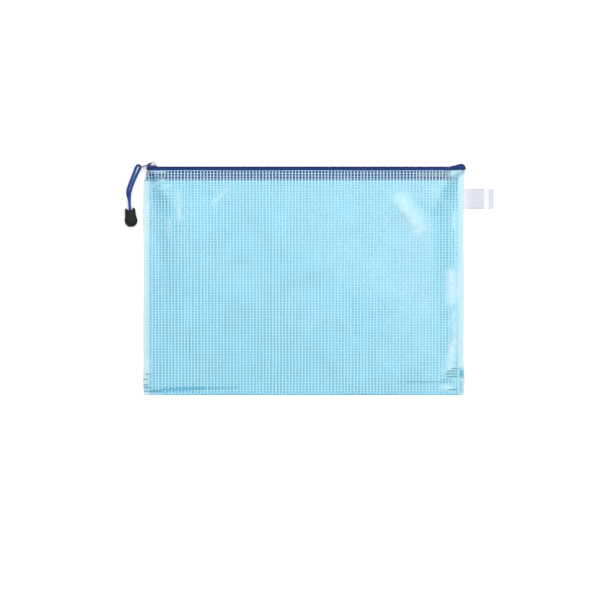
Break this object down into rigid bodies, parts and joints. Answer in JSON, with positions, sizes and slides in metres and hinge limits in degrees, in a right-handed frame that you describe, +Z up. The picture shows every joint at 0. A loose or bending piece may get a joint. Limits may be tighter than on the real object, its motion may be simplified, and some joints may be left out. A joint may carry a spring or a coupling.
{
  "type": "zip document wallet",
  "caption": "Flat A4 zip wallet of see-through mesh film, welded at the sides, with a coil zip along the long mouth, a corded pull and a plain side tag.",
  "frame": {"origin": "middle of the back panel's underside, which rests on the table", "axes": "+X along the zip, from the parked slider to the tape's folded end; +Y from the bottom fold to the zip; +Z up, out of the front panel"},
  "size_m": [0.3859, 0.2439, 0.0095],
  "materials": {
    "film": "gloss",
    "tape": "woven",
    "coil": "satin",
    "filler": "twisted",
    "stop": "satin",
    "slider": "gloss",
    "bridge": "polished",
    "wire": "polished",
    "cord": "braided",
    "cap": "matt",
    "tag": "woven"
  },
  "bodies": {
    "back": {"back_panel": "film", "back_zip_tape": "tape", "back_tape_turn": "tape", "back_zip_coil": "coil", "back_filler_cord": "filler", "back_top_stop": "stop", "bottom_stop": "stop", "zip_end_tab": "tape"},
    "front": {"front_panel": "film", "front_zip_tape": "tape", "front_tape_turn": "tape", "front_zip_coil": "coil", "front_filler_cord": "filler", "front_top_stop": "stop"},
    "slider": {"slider_body": "slider", "slider_bridge": "bridge"},
    "pull_wire": {"pull_wire": "wire"},
    "pull": {"pull_cord": "cord", "pull_cap": "cap"},
    "label": {"label_tab": "tag"}
  },
  "joints": [
    {"name": "slider_slide", "type": "slide", "parent": "back", "child": "slider", "axis": [1, 0, 0], "range_m": [0, 0.304], "deforming": ["back_zip_coil", "pull_cord", "pull_cap"]},
    {"name": "front_open", "type": "hinge", "parent": "back", "child": "front", "pos_m": [0, -0.117, 0.0005], "axis": [1, 0, 0], "range_deg": [0, 15]},
    {"name": "pull_swing", "type": "hinge", "parent": "slider", "child": "pull_wire", "pos_m": [-0.1593, 0.1247, 0.00475], "axis": [0, 0, 1], "range_deg": [-180, 0]},
    {"name": "cord_swing", "type": "hinge", "parent": "pull_wire", "child": "pull", "pos_m": [-0.1723, 0.1197, 0.00475], "axis": [0, 0, 1], "range_deg": [-80, 0]},
    {"name": "label_flip", "type": "hinge", "parent": "back", "child": "label", "pos_m": [0.1679, 0.088, 0.0011], "axis": [0, -1, 0], "range_deg": [0, 140]}
  ],
  "couplings": [
    {"joint": "front_open", "follows": "slider_slide", "rad_per_m": 0.86},
    {"joint": "pull_swing", "follows": "slider_slide", "rad_per_m": -8.6}
  ]
}
